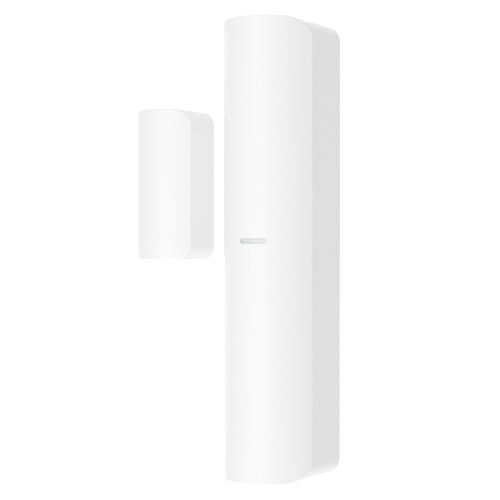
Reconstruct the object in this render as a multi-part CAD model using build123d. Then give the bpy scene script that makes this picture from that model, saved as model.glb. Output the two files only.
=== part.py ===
from build123d import *
import math
import os
from types import SimpleNamespace

# Wireless door contact: a sensor on its mounting plate, and a magnet unit beside it.
# Millimetres, +Z up. The wall is the plane y = 0 and both units stand out from it towards -Y.
# The origin is the centre of the sensor's rear face, on the wall.

# ---- Outer shapes. The front of each unit is an arc of an ellipse, seen from above. ----
SENSOR = SimpleNamespace(
    width=24.0,
    height=110.0,
    side_depth=13.4,  # wall to the edge where the flat side meets the front
    half_across=12.9,  # the ellipse's half axis along X
    half_out=18.3,  # and along Y
    corner=4.1,  # the four corners, seen from the front
    wall=1.6,
    rim_front=-4.2,
    tab_centres=(-25.0, 25.0),
)
MAGNET = SimpleNamespace(
    width=17.2,
    height=38.6,
    side_depth=10.5,
    half_across=9.9,
    half_out=9.9,
    corner=3.6,
    wall=1.5,
    rim_front=-3.6,
    tab_centres=(0.0,),
)
UNIT_GAP = 14.0  # between the two units' side walls
MAGNET_X = -(SENSOR.width / 2 + UNIT_GAP + MAGNET.width / 2)
MAGNET_Z = 16.7
COVER_REAR = -0.3  # the covers stop just short of the wall
EDGE_ROUND = 0.35  # outer front edges of both covers
AHEAD = -30.0  # a depth in front of everything
JOIN = 0.2  # how far solids that become one run into each other

# ---- Mounting plates, inside the covers' skirts ----
PLATE_PLAY = 0.15
FLOOR_FRONT = -2.2
RIM_THICKNESS = 1.2
TAB_FRONT = -5.6
TAB_LENGTH = 7.0
TAB_THICKNESS = 1.1
BEAD_Y = -4.7
BEAD_WIDTH = 0.8
BEAD_HEIGHT = 0.12
GROOVE_DEPTH = 0.3
RIB_FRONT = -3.0
RIB_WIDTH = 1.0
PAD_THICKNESS = 0.8
PAD_WIDTH = 14.0
PAD_HEIGHT = 26.0
PAD_Z = 26.0
MAGNET_PAD_WIDTH = 9.0
MAGNET_PAD_HEIGHT = 16.0
PAD_CORNER = 1.0
PAD_PLAY = 0.1
SCREW_SPACING = 88.0
SCREW_HOLE_RADIUS = 2.0
SCREW_HEAD_RADIUS = 3.7
SCREW_SEAT = -1.6  # where the screw's head bears
SCREW_BOSS_RADIUS = 4.7
SCREW_BOSS_FRONT = -3.1
MAGNET_SCREW_SPACING = 25.0
MAGNET_SCREW_HOLE_RADIUS = 1.7
MAGNET_HEAD_RADIUS = 3.1
MAGNET_BOSS_RADIUS = 4.0
NOTCH_WIDTH = 8.0  # where a screwdriver frees a cover from its plate
NOTCH_DEPTH = 1.9
MAGNET_NOTCH_WIDTH = 5.0

# ---- Indicator ----
INDICATOR_Z = 2.1
INDICATOR_WIDTH = 6.2
INDICATOR_HEIGHT = 1.1
INDICATOR_LEFT_END = -0.8  # the slot's round left end lies on the centre line, over the lamp
INDICATOR_X = INDICATOR_LEFT_END + INDICATOR_WIDTH / 2
INDICATOR_PLAY = 0.04
INDICATOR_RECESS = 0.06
INDICATOR_DOT_RADIUS = 0.42
INDICATOR_DOT_DEPTH = 0.2
GUIDE_FLANGE_WIDTH = 8.4
GUIDE_FLANGE_HEIGHT = 3.2
GUIDE_FLANGE_REAR = -20.3
GUIDE_STEM_WIDTH = 3.0
GUIDE_STEM_HEIGHT = 1.6
GUIDE_LAMP_GAP = 0.2

# ---- Circuit board, fixed to the housing. Its rear face carries nearly all the parts. ----
BOARD_REAR = -11.6
BOARD_THICKNESS = 1.0
BOARD_FRONT = BOARD_REAR - BOARD_THICKNESS
BOARD_WIDTH = 19.6
BOARD_TOP = 51.5
BOARD_BOTTOM = -8.0
BOARD_CORNER = 1.5
BOARD_SCREWS = ((6.4, 47.4), (-6.4, -4.6))
BOARD_HOLE_RADIUS = 1.15
POST_RADIUS = 2.3
PILOT_RADIUS = 0.85
PILOT_DEPTH = 5.0
BOARD_SCREW_RADIUS = 0.8
BOARD_SCREW_LENGTH = 4.5
BOARD_SCREW_HEAD_RADIUS = 1.9
BOARD_SCREW_HEAD_HEIGHT = 1.3
CROSS_LENGTH = 2.2
CROSS_WIDTH = 0.45
CROSS_DEPTH = 0.65
LEDGE_LENGTH = 5.0
LEDGE_OVERLAP = 0.9
LEDGE_DEPTH = 3.0
LEDGE_Z = (8.0, 24.0, 40.0)

# ---- Tamper plunger: the wall keeps it pushed in, and it comes out 1.6 mm when it can ----
TAMPER_X = 0.0
TAMPER_Z = 9.0
PLUNGER_RADIUS = 1.8
PLUNGER_HOLE_RADIUS = 2.3
PLUNGER_FLANGE_RADIUS = 2.7
PLUNGER_FLANGE_REAR = -6.4
PLUNGER_FLANGE_FRONT = -7.2
PLUNGER_TRAVEL = 1.6
TUBE_INNER_RADIUS = 2.85
TUBE_OUTER_RADIUS = 3.7
TUBE_LIP = 0.7
TUBE_WINDOW = 2.6
TAMPER_SWITCH_SIDE = 3.9
TAMPER_SWITCH_HEIGHT = 1.3
TAMPER_BUTTON_RADIUS = 1.75
TAMPER_BUTTON_STEM = 0.9
TAMPER_BUTTON_CAP = 0.4
TAMPER_SPRING_WIRE = 0.3
TAMPER_SPRING_RADIUS = 1.5  # to the wire's centre
TAMPER_SPRING_TURNS = 3.5

# ---- Enrolment switch ----
ENROL_X = 4.8
ENROL_Z = 20.0
ENROL_SIDE = 6.0
ENROL_HEIGHT = 3.4
ENROL_BUTTON_RADIUS = 1.7
ENROL_BUTTON_OUT = 1.6
ENROL_BUTTON_IN = 1.0
ENROL_TRAVEL = 0.25

# ---- Reed switch, upright and level with the magnet ----
REED_X = -7.4
REED_Y = -9.7
REED_GLASS_RADIUS = 1.1
REED_GLASS_WALL = 0.3
REED_GLASS_LENGTH = 14.0
REED_SEAL = 2.2
REED_WIRE_RADIUS = 0.25
REED_LEAD = 2.4
BLADE_WIDTH = 0.9
BLADE_THICKNESS = 0.2
BLADE_OVERLAP = 1.2

# ---- Radio, antenna and other parts: (across, out from the board, along) and (x, z) ----
RADIO_PLACE = (1.8, 34.6)
RADIO_BOARD = (15.0, 0.8, 15.0)
RADIO_CAN = (12.6, 2.1, 12.6)
ANTENNA_START = -8.2
ANTENNA_END = 1.8
ANTENNA_Z = 47.4
ANTENNA_Y = -8.7
ANTENNA_RADIUS = 2.1  # to the wire's centre
ANTENNA_WIRE_RADIUS = 0.35
ANTENNA_TURNS = 7
CONTROLLER = (6.0, 0.9, 6.0)
CONTROLLER_PLACE = (4.4, -2.4)
CAPACITOR = (3.2, 2.4, 6.0)
CAPACITOR_PLACE = (-2.4, -0.6)
CRYSTAL = (1.6, 0.8, 3.2)
CRYSTAL_PLACE = (7.6, 5.4)
CHIP_PART = (0.8, 0.5, 1.6)
CHIP_COLUMNS = ((-4.2, 15.4), (-2.6, 15.4), (-1.0, 15.4), (-4.2, 19.0), (-2.6, 19.0), (-4.2, 22.6))
CHIP_COLUMNS_RIGHT = ((8.4, -2.0), (8.4, 0.8), (5.6, 12.0), (7.4, 12.0), (8.8, 24.4))
LED = (1.6, 0.7, 1.2)

# ---- Lithium cell, 17 mm across and 34.5 mm long, and its holder ----
CELL_Y = -12.8
CELL_TOP = -14.0
CELL_BOTTOM = -47.5
CELL_RADIUS = 8.5
CELL_SLEEVE = 0.15
CELL_NUB_RADIUS = 3.3
CELL_NUB_HEIGHT = 1.0
CELL_RING_RADIUS = 5.4
CELL_RING_HEIGHT = 0.4
CRADLE_PLAY = 0.15
CRADLE_WALL = 0.8
CRADLE_REAR = -6.4
CRADLE_TOP = -10.8
CRADLE_BOTTOM = -52.4
CRADLE_INNER_TOP = -12.4
CRADLE_INNER_BOTTOM = -51.0
CRADLE_FOOT_X = 6.6
CRADLE_FEET_Z = (-20.0, -44.0)
CRADLE_FOOT = (2.0, 6.0, 3.0)
LIP_WIDTH = 1.2
LIP_LENGTH = 10.0
CONTACT_THICKNESS = 0.4
CONTACT_STRIP = 3.0
CONTACT_PLATE = 8.0
POSITIVE_TAIL_X = 2.5
DIMPLE_RADIUS = 1.2
STRIP_DEPTHS = (-13.0, -10.0)
CELL_SPRING_WIRE = 0.45
CELL_SPRING_RADIUS = 3.0  # to the wire's centre
CELL_SPRING_TURNS = 3

# ---- Bar magnet ----
BAR_RADIUS = 3.5
BAR_LENGTH = 26.0
BAR_Y = -9.0
BAR_RIB = 1.5
BAR_RIB_REAR = BAR_Y + 1.5
BAR_STOP_WIDTH = 6.0
BAR_RIB_SPACING = 17.0
BAR_POST_RADIUS = 1.2
BAR_POST_SPACING = 5.0


# ---- Building blocks ----
def box(x0, x1, y0, y1, z0, z1):
    """A box between two corners, given in any order along each axis."""
    size = (abs(x1 - x0), abs(y1 - y0), abs(z1 - z0))
    return Pos((x0 + x1) / 2, (y0 + y1) / 2, (z0 + z1) / 2) * Box(*size)


def rod(radius, start, end):
    """A round bar between two points."""
    start, end = Vector(*start), Vector(*end)
    plane = Plane(origin=start, z_dir=end - start)
    return extrude(plane * Circle(radius), amount=(end - start).length)


def pin(radius, x, z, y0, y1):
    """A round bar at right angles to the wall."""
    return rod(radius, (x, y0, z), (x, y1, z))


def plate_between(outline, y0, y1):
    """An outline drawn as seen from the front, as a solid between two depths, y0 nearer the wall."""
    return extrude(Plane.XZ.offset(-y0) * outline, amount=y0 - y1)


def helix_wire(wire_radius, path):
    """A round wire along a helix."""
    section = Plane(origin=path @ 0, z_dir=path % 0) * Circle(wire_radius)
    return sweep(section, path=path, is_frenet=True)


def rear_rim(shape, radius):
    """Rounds the circular edge of a pin nearest the wall."""
    return fillet(shape.edges().filter_by(GeomType.CIRCLE).sort_by(Axis.Y)[-1], radius)


def board_part(size, place, face=BOARD_REAR):
    """A block standing on the board."""
    across, out, along = size
    x, z = place
    return box(x - across / 2, x + across / 2, face, face + out, z - along / 2, z + along / 2)


# ---- The shape both units share ----
def ellipse_start(unit):
    """Angle on the ellipse at which the front meets the flat sides."""
    return math.acos(unit.width / 2 / unit.half_across)


def ellipse_centre(unit):
    """Depth of the ellipse's centre."""
    return -unit.side_depth + unit.half_out * math.sin(ellipse_start(unit))


def front_depth(unit, x, inset=0.0):
    """Depth of the front surface, or of one set in from it, at a distance x from the unit's middle."""
    fraction = x / (unit.half_across - inset)
    return ellipse_centre(unit) - (unit.half_out - inset) * math.sqrt(1 - fraction**2)


def unit_block(unit, inset, rear):
    """The unit's outer shape set in by an amount all round, from a given depth forwards."""
    half = unit.width / 2 - inset
    height = unit.height - 2 * inset
    side = front_depth(unit, half, inset)
    front = front_depth(unit, 0, inset)
    across, out = unit.half_across - inset, unit.half_out - inset
    turn = math.degrees(math.acos(half / across))
    arc = EllipticalCenterArc((0, ellipse_centre(unit)), across, out, 180 + turn, arc_size=180 - 2 * turn)
    sides = Polyline((half, side), (half, rear), (-half, rear), (-half, side))
    bar = Pos(0, 0, -height / 2) * extrude(make_face([arc, *sides.edges()]), amount=height)
    return bar & plate_between(RectangleRounded(2 * half, height, unit.corner - inset), rear, front - 1)


def cover(unit):
    """A hollow cover, open at the back, with its front edges slightly rounded."""
    outside = unit_block(unit, 0, COVER_REAR)
    sharp = [e for e in outside.edges() if e.bounding_box().max.Y < -unit.side_depth + 0.01]
    return outside.fillet(EDGE_ROUND, sharp) - unit_block(unit, unit.wall, COVER_REAR + 1)


def snap_grooves(unit):
    """Grooves inside a cover where the plate's beads click in."""
    inside = unit.width / 2 - unit.wall
    reach = TAB_LENGTH / 2 + 0.5
    depth_range = (BEAD_Y - BEAD_WIDTH, BEAD_Y + BEAD_WIDTH)
    return [
        box(side * (inside - 0.5), side * (inside + GROOVE_DEPTH), *depth_range, z - reach, z + reach)
        for side in (-1, 1)
        for z in unit.tab_centres
    ]


def release_notch(unit, width):
    """A slot in the cover's lower end for a screwdriver."""
    low = -unit.height / 2
    rear = COVER_REAR + 1
    return box(-width / 2, width / 2, rear, FLOOR_FRONT - NOTCH_DEPTH, low - 1, low + unit.wall + 0.5)


def mounting_plate(unit):
    """A flat plate with a raised rim and sprung tabs, which the cover slides over."""
    inset = unit.wall + PLATE_PLAY
    width, height = unit.width - 2 * inset, unit.height - 2 * inset
    corner = unit.corner - inset
    inner = RectangleRounded(width - 2 * RIM_THICKNESS, height - 2 * RIM_THICKNESS, 0.5)
    plate = plate_between(RectangleRounded(width, height, corner), 0, unit.rim_front)
    plate -= plate_between(inner, FLOOR_FRONT, unit.rim_front - 1)
    for side in (-1, 1):
        outer = side * width / 2
        for z in unit.tab_centres:
            low, high = z - TAB_LENGTH / 2, z + TAB_LENGTH / 2
            plate += box(outer, outer - side * TAB_THICKNESS, FLOOR_FRONT + JOIN, TAB_FRONT, low, high)
            bead = (BEAD_Y - BEAD_WIDTH / 2, BEAD_Y + BEAD_WIDTH / 2)
            plate += box(outer - side * JOIN, outer + side * BEAD_HEIGHT, *bead, low, high)
    return plate


def screw_boss(radius, z):
    return pin(radius, 0, z, FLOOR_FRONT + JOIN, SCREW_BOSS_FRONT)


def screw_hole(hole_radius, head_radius, z):
    """A clearance hole from the wall side and a seat for the screw's head."""
    return pin(hole_radius, 0, z, 1, SCREW_SEAT - 0.1) + pin(head_radius, 0, z, SCREW_SEAT, -10)


def pad(width, height, z, play=0.0):
    """An adhesive foam pad, or with some play the pocket that it sits in."""
    outline = RectangleRounded(width + 2 * play, height + 2 * play, PAD_CORNER)
    return Pos(0, 0, z) * plate_between(outline, 0, -PAD_THICKNESS)


# ---- Sensor: housing, plate and indicator ----
def front_housing():
    inside = SENSOR.width / 2 - SENSOR.wall
    inner = BOARD_WIDTH / 2 - LEDGE_OVERLAP
    fittings = [pin(POST_RADIUS, x, z, BOARD_FRONT, AHEAD) for x, z in BOARD_SCREWS]
    for side in (-1, 1):
        for z in LEDGE_Z:
            low, high = z - LEDGE_LENGTH / 2, z + LEDGE_LENGTH / 2
            depth_range = (BOARD_FRONT, BOARD_FRONT - LEDGE_DEPTH)
            fittings.append(box(side * inner, side * (inside + 1), *depth_range, low, high))
    kept = unit_block(SENSOR, SENSOR.wall / 2, COVER_REAR - 1)
    housing = cover(SENSOR) + [fitting & kept for fitting in fittings]
    pilots = [pin(PILOT_RADIUS, x, z, BOARD_FRONT + 1, BOARD_FRONT - PILOT_DEPTH) for x, z in BOARD_SCREWS]
    slot = plate_between(SlotOverall(INDICATOR_WIDTH, INDICATOR_HEIGHT), GUIDE_FLANGE_REAR + 1, AHEAD)
    housing -= pilots + snap_grooves(SENSOR)
    return housing - release_notch(SENSOR, NOTCH_WIDTH) - Pos(INDICATOR_X, 0, INDICATOR_Z) * slot


def light_guide():
    """A clear stem from the lamp, a flange that follows the housing's wall, and a bar in the slot."""
    outline = SlotOverall(INDICATOR_WIDTH - 2 * INDICATOR_PLAY, INDICATOR_HEIGHT - 2 * INDICATOR_PLAY)
    bar = Pos(INDICATOR_X, 0, INDICATOR_Z) * plate_between(outline, GUIDE_FLANGE_REAR - JOIN, AHEAD)
    bar &= unit_block(SENSOR, INDICATOR_RECESS, COVER_REAR)
    dot_x = INDICATOR_LEFT_END + INDICATOR_HEIGHT / 2
    dot_floor = front_depth(SENSOR, dot_x, INDICATOR_RECESS) + INDICATOR_DOT_DEPTH
    bar -= pin(INDICATOR_DOT_RADIUS, dot_x, INDICATOR_Z, dot_floor, AHEAD)
    flange_size = (GUIDE_FLANGE_WIDTH, -SENSOR.wall, GUIDE_FLANGE_HEIGHT)
    flange = board_part(flange_size, (INDICATOR_X, INDICATOR_Z), GUIDE_FLANGE_REAR)
    flange &= unit_block(SENSOR, SENSOR.wall + INDICATOR_PLAY, COVER_REAR)
    stem_end = BOARD_FRONT - LED[1] - GUIDE_LAMP_GAP
    stem_size = (GUIDE_STEM_WIDTH, GUIDE_FLANGE_REAR - JOIN - stem_end, GUIDE_STEM_HEIGHT)
    return bar + flange + board_part(stem_size, (0, INDICATOR_Z), stem_end)


def back_plate():
    plate = mounting_plate(SENSOR)
    half = SENSOR.width / 2 - SENSOR.wall - PLATE_PLAY
    for z in (-SCREW_SPACING / 4, 0, SCREW_SPACING / 4):
        plate += box(-half, half, FLOOR_FRONT + JOIN, RIB_FRONT, z - RIB_WIDTH / 2, z + RIB_WIDTH / 2)
    for z in (-SCREW_SPACING / 2, SCREW_SPACING / 2):
        plate += screw_boss(SCREW_BOSS_RADIUS, z)
        plate -= screw_hole(SCREW_HOLE_RADIUS, SCREW_HEAD_RADIUS, z)
    for z in (-PAD_Z, PAD_Z):
        plate -= pad(PAD_WIDTH, PAD_HEIGHT, z, PAD_PLAY)
    return plate - pin(PLUNGER_HOLE_RADIUS, TAMPER_X, TAMPER_Z, 1, -5)


def circuit_board():
    outline = RectangleRounded(BOARD_WIDTH, BOARD_TOP - BOARD_BOTTOM, BOARD_CORNER)
    board = Pos(0, 0, (BOARD_TOP + BOARD_BOTTOM) / 2) * plate_between(outline, BOARD_REAR, BOARD_FRONT)
    return board - [pin(BOARD_HOLE_RADIUS, x, z, BOARD_REAR + 1, BOARD_FRONT - 1) for x, z in BOARD_SCREWS]


def board_screw(x, z):
    """A pan-head screw with a cross recess, whose head bears on the board."""
    head_top = BOARD_REAR + BOARD_SCREW_HEAD_HEIGHT
    head = rear_rim(pin(BOARD_SCREW_HEAD_RADIUS, x, z, BOARD_REAR, head_top), 0.5)
    screw = head + pin(BOARD_SCREW_RADIUS, x, z, BOARD_REAR + 0.1, BOARD_REAR - BOARD_SCREW_LENGTH)
    arms = [Box(CROSS_WIDTH, 2 * CROSS_DEPTH, CROSS_LENGTH), Box(CROSS_LENGTH, 2 * CROSS_DEPTH, CROSS_WIDTH)]
    return screw - [Pos(x, head_top, z) * arm for arm in arms]


# ---- Sensor: tamper and enrolment switches ----
def tamper_tube():
    """A tube on the board that keeps the plunger in line, with a lip that holds it in."""
    lip_front = PLUNGER_FLANGE_REAR + PLUNGER_TRAVEL + 0.05
    rear = lip_front + TUBE_LIP
    tube = pin(TUBE_OUTER_RADIUS, TAMPER_X, TAMPER_Z, BOARD_REAR, rear)
    tube -= pin(TUBE_INNER_RADIUS, TAMPER_X, TAMPER_Z, BOARD_REAR - 1, lip_front)
    tube -= pin(PLUNGER_RADIUS + 0.15, TAMPER_X, TAMPER_Z, BOARD_REAR, rear + 1)
    window = (TUBE_WINDOW, TAMPER_SWITCH_HEIGHT + 0.6, 2 * TUBE_OUTER_RADIUS + 2)
    return tube - board_part(window, (TAMPER_X, TAMPER_Z))


def tamper_plunger():
    shaft = rear_rim(pin(PLUNGER_RADIUS, TAMPER_X, TAMPER_Z, 0, PLUNGER_FLANGE_FRONT), 0.5)
    flange = pin(PLUNGER_FLANGE_RADIUS, TAMPER_X, TAMPER_Z, PLUNGER_FLANGE_REAR, PLUNGER_FLANGE_FRONT)
    spigot_radius = TAMPER_SPRING_RADIUS - 0.4
    return shaft + flange + pin(
        spigot_radius, TAMPER_X, TAMPER_Z, PLUNGER_FLANGE_FRONT + 0.1, PLUNGER_FLANGE_FRONT - 0.8
    )


def tamper_switch():
    """A low push switch, hollow where its button's stem goes down."""
    body = board_part((TAMPER_SWITCH_SIDE, TAMPER_SWITCH_HEIGHT, TAMPER_SWITCH_SIDE), (TAMPER_X, TAMPER_Z))
    return body - pin(TAMPER_BUTTON_STEM + 0.1, TAMPER_X, TAMPER_Z, BOARD_REAR + 0.4, BOARD_REAR + 2)


def tamper_button():
    """The switch's button, held down by the spring, with a cap that the spring stands on."""
    under = BOARD_REAR + TAMPER_SWITCH_HEIGHT + 0.05
    stem = pin(TAMPER_BUTTON_STEM, TAMPER_X, TAMPER_Z, BOARD_REAR + 0.5, under + 0.1)
    return stem + pin(TAMPER_BUTTON_RADIUS, TAMPER_X, TAMPER_Z, under, under + TAMPER_BUTTON_CAP)


def tamper_spring():
    """A coil from the switch's button to the plunger's flange."""
    low = BOARD_REAR + TAMPER_SWITCH_HEIGHT + 0.05 + TAMPER_BUTTON_CAP + TAMPER_SPRING_WIRE / 2
    height = PLUNGER_FLANGE_FRONT - TAMPER_SPRING_WIRE / 2 - low
    coil = helix_wire(
        TAMPER_SPRING_WIRE / 2, Helix(height / TAMPER_SPRING_TURNS, height, TAMPER_SPRING_RADIUS)
    )
    return Pos(TAMPER_X, low, TAMPER_Z) * Rot(-90, 0, 0) * coil


def enrol_switch():
    """A square push switch, hollow where its button goes down."""
    top = BOARD_REAR + ENROL_HEIGHT
    floor = top - ENROL_BUTTON_IN - ENROL_TRAVEL - 0.1
    body = board_part((ENROL_SIDE, ENROL_HEIGHT, ENROL_SIDE), (ENROL_X, ENROL_Z))
    return body - pin(ENROL_BUTTON_RADIUS + 0.1, ENROL_X, ENROL_Z, floor, top + 1)


def enrol_button():
    top = BOARD_REAR + ENROL_HEIGHT
    button = pin(ENROL_BUTTON_RADIUS, ENROL_X, ENROL_Z, top - ENROL_BUTTON_IN, top + ENROL_BUTTON_OUT)
    return rear_rim(button, 0.3)


# ---- Sensor: reed switch ----
def reed_glass():
    """A sealed tube: hollow in the middle, and solid round each lead."""
    half = REED_GLASS_LENGTH / 2
    room = half - REED_SEAL
    ends = ((REED_X, REED_Y, MAGNET_Z - half), (REED_X, REED_Y, MAGNET_Z + half))
    hollow = ((REED_X, REED_Y, MAGNET_Z - room), (REED_X, REED_Y, MAGNET_Z + room))
    tube = rod(REED_GLASS_RADIUS, *ends)
    tube = fillet(tube.edges().filter_by(GeomType.CIRCLE), 0.6)
    tube -= rod(REED_GLASS_RADIUS - REED_GLASS_WALL, *hollow)
    return tube - rod(REED_WIRE_RADIUS, *ends)


def reed_lead(end):
    """A wire through one seal and down to the board. The end is 1 for the upper and -1 for the lower."""
    inner = MAGNET_Z + end * (REED_GLASS_LENGTH / 2 - REED_SEAL)
    outer = MAGNET_Z + end * (REED_GLASS_LENGTH / 2 + REED_LEAD)
    bend = (REED_X, REED_Y, outer)
    along = rod(REED_WIRE_RADIUS, (REED_X, REED_Y, inner), bend)
    down = rod(REED_WIRE_RADIUS, bend, (REED_X, BOARD_REAR, outer))
    return along + down + Pos(*bend) * Sphere(REED_WIRE_RADIUS)


def reed_blade(end):
    """A flat reed. The two overlap at the middle, and the magnet holds them together."""
    root = MAGNET_Z + end * (REED_GLASS_LENGTH / 2 - REED_SEAL)
    tip = MAGNET_Z - end * BLADE_OVERLAP / 2
    rear = REED_Y + (BLADE_THICKNESS if end > 0 else 0)
    half = BLADE_WIDTH / 2
    return box(REED_X - half, REED_X + half, rear, rear - BLADE_THICKNESS, root, tip)


# ---- Sensor: radio and other parts on the board ----
def antenna():
    """A coiled wire lying across the board, with a leg at each end."""
    length = ANTENNA_END - ANTENNA_START
    coil = helix_wire(ANTENNA_WIRE_RADIUS, Helix(length / ANTENNA_TURNS, length, ANTENNA_RADIUS))
    coil = Pos(ANTENNA_START, ANTENNA_Y, ANTENNA_Z) * Rot(0, 90, 0) * coil
    foot_z = ANTENNA_Z - ANTENNA_RADIUS
    legs = [
        pin(ANTENNA_WIRE_RADIUS + 0.1, x, foot_z, BOARD_REAR, ANTENNA_Y + 0.3)
        for x in (ANTENNA_START, ANTENNA_END)
    ]
    return coil + legs


def radio_shield():
    can = board_part(RADIO_CAN, RADIO_PLACE, BOARD_REAR + RADIO_BOARD[1])
    can = fillet(can.edges().filter_by(Axis.Y), 1.0)
    return fillet(can.faces().sort_by(Axis.Y)[-1].edges(), 0.35)


def storage_capacitor():
    body = board_part(CAPACITOR, CAPACITOR_PLACE)
    return chamfer(body.faces().sort_by(Axis.Y)[-1].edges(), 0.3)


def chip_parts():
    return Compound(children=[board_part(CHIP_PART, place) for place in CHIP_COLUMNS + CHIP_COLUMNS_RIGHT])


# ---- Sensor: cell and holder ----
def cell_round(radius, z0, z1):
    return rod(radius, (0, CELL_Y, z0), (0, CELL_Y, z1))


def battery_can():
    can = cell_round(CELL_RADIUS - CELL_SLEEVE, CELL_BOTTOM, CELL_TOP)
    can = fillet(can.edges().filter_by(GeomType.CIRCLE), 0.5)
    nub = cell_round(CELL_NUB_RADIUS, CELL_TOP - 0.2, CELL_TOP + CELL_NUB_HEIGHT)
    return can + fillet(nub.edges().filter_by(GeomType.CIRCLE).sort_by(Axis.Z)[-1], 0.4)


def battery_ring():
    """The insulating ring round the positive nub."""
    top = CELL_TOP + CELL_RING_HEIGHT
    return cell_round(CELL_RING_RADIUS, CELL_TOP, top) - cell_round(CELL_NUB_RADIUS, CELL_TOP, top)


def battery_sleeve():
    low, high = CELL_BOTTOM + 0.6, CELL_TOP - 0.6
    return cell_round(CELL_RADIUS, low, high) - cell_round(CELL_RADIUS - CELL_SLEEVE, low, high)


def trough(radius, z0, z1, rear):
    """Half a round bar, continued straight towards the wall: the cell's way out."""
    width = 2 * radius
    return (cell_round(radius, z0, z1) & box(-width, width, CELL_Y, CELL_Y - width, z0, z1)) + box(
        -radius, radius, CELL_Y, rear, z0, z1
    )


def battery_cradle():
    inner = CELL_RADIUS + CRADLE_PLAY
    outer = inner + CRADLE_WALL
    cradle = trough(outer, CRADLE_BOTTOM, CRADLE_TOP, CRADLE_REAR)
    cradle -= trough(inner, CRADLE_INNER_BOTTOM, CRADLE_INNER_TOP, CRADLE_REAR + 1)
    middle = (CELL_TOP + CELL_BOTTOM) / 2
    touching = unit_block(SENSOR, SENSOR.wall + 0.02, COVER_REAR)
    for side in (-1, 1):
        lip = (CRADLE_REAR, CRADLE_REAR - 0.8, middle - LIP_LENGTH / 2, middle + LIP_LENGTH / 2)
        cradle += box(side * (inner - LIP_WIDTH), side * (inner + 0.3), *lip)
        for z in CRADLE_FEET_Z:
            foot = Pos(side * CRADLE_FOOT_X, CELL_Y - CELL_RADIUS, z) * Box(*CRADLE_FOOT)
            cradle += (foot & touching) - cell_round(inner + 0.3, z - 3, z + 3)
    half = CONTACT_STRIP / 2 + 0.2
    tail_x = POSITIVE_TAIL_X
    gap = (BOARD_REAR - 0.2, BOARD_REAR + 0.8)
    cradle -= box(tail_x - half, tail_x + half, *gap, CRADLE_INNER_TOP - 1, CRADLE_TOP + 1)
    low = CRADLE_INNER_BOTTOM
    front, rear = STRIP_DEPTHS
    return cradle - box(inner - 0.5, outer + 1, front - 0.2, rear + 0.2, low, low + CONTACT_THICKNESS + 0.2)


def contact_plate(size, z0, z1):
    """A square plate across the cell's end."""
    half = size / 2
    return box(-half, half, CELL_Y - half, CELL_Y + half, z0, z1)


def positive_contact():
    """A plate against the cell's nub, with a tail that lies on the board."""
    top = CRADLE_INNER_TOP
    plate = contact_plate(CONTACT_PLATE, top - CONTACT_THICKNESS, top)
    dimple = cell_round(DIMPLE_RADIUS, CELL_TOP + CELL_NUB_HEIGHT, top - CONTACT_THICKNESS + 0.1)
    half = CONTACT_STRIP / 2
    tail_x = POSITIVE_TAIL_X
    depth_range = (BOARD_REAR, BOARD_REAR + CONTACT_THICKNESS)
    tail = box(tail_x - half, tail_x + half, *depth_range, top - CONTACT_THICKNESS, BOARD_BOTTOM + 1.4)
    return plate + dimple + tail


def negative_contact():
    """A plate under the spring, with a strip up the side of the holder to the board."""
    low = CRADLE_INNER_BOTTOM
    high = low + CONTACT_THICKNESS
    side = CELL_RADIUS + CRADLE_PLAY + CRADLE_WALL + 0.1
    outer = side + CONTACT_THICKNESS
    plate = contact_plate(CONTACT_PLATE + 1, low, high)
    link = box(CONTACT_PLATE / 2, outer, *STRIP_DEPTHS, low, high)
    strip = box(side, outer, *STRIP_DEPTHS, low, BOARD_BOTTOM - 0.3)
    depth_range = (BOARD_REAR, BOARD_REAR + CONTACT_THICKNESS)
    foot = box(side - CONTACT_STRIP, outer, *depth_range, BOARD_BOTTOM - 1.0, BOARD_BOTTOM + 1.4)
    return plate + link + strip + foot


def cell_spring():
    """A coil between the contact's plate and the cell."""
    low = CRADLE_INNER_BOTTOM + CONTACT_THICKNESS + CELL_SPRING_WIRE / 2
    height = CELL_BOTTOM - CELL_SPRING_WIRE / 2 - low
    path = Helix(height / CELL_SPRING_TURNS, height, CELL_SPRING_RADIUS)
    return Pos(0, CELL_Y, low) * helix_wire(CELL_SPRING_WIRE / 2, path)


# ---- Magnet unit, made about its own middle ----
def magnet_cover():
    """The cover, with ribs that hold the bar magnet from the front, the sides and both ends."""
    kept = unit_block(MAGNET, MAGNET.wall / 2, BAR_RIB_REAR)
    half = MAGNET.width / 2
    end = BAR_LENGTH / 2
    ribs = []
    for z in (-BAR_RIB_SPACING / 2, BAR_RIB_SPACING / 2):
        ribs.append(box(-half, half, BAR_RIB_REAR, AHEAD, z - BAR_RIB / 2, z + BAR_RIB / 2))
    for side in (-1, 1):
        stop = (side * (end + 0.1), side * (end + 0.1 + BAR_RIB))
        ribs.append(box(-BAR_STOP_WIDTH / 2, BAR_STOP_WIDTH / 2, BAR_Y, AHEAD, *stop))
    body = cover(MAGNET) + [rib & kept for rib in ribs]
    body -= rod(BAR_RADIUS, (0, BAR_Y, -end), (0, BAR_Y, end))
    body -= box(-BAR_RADIUS, BAR_RADIUS, BAR_Y, BAR_Y + 3, -end, end)
    return body - snap_grooves(MAGNET) - release_notch(MAGNET, MAGNET_NOTCH_WIDTH)


def magnet_base():
    """The plate, with two posts that keep the bar magnet in its ribs."""
    plate = mounting_plate(MAGNET)
    for z in (-MAGNET_SCREW_SPACING / 2, MAGNET_SCREW_SPACING / 2):
        plate += screw_boss(MAGNET_BOSS_RADIUS, z)
        plate -= screw_hole(MAGNET_SCREW_HOLE_RADIUS, MAGNET_HEAD_RADIUS, z)
    post_front = BAR_Y + BAR_RADIUS + 0.05
    for z in (-BAR_POST_SPACING / 2, BAR_POST_SPACING / 2):
        plate += pin(BAR_POST_RADIUS, 0, z, FLOOR_FRONT + JOIN, post_front)
    return plate - pad(MAGNET_PAD_WIDTH, MAGNET_PAD_HEIGHT, 0, PAD_PLAY)


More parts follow.
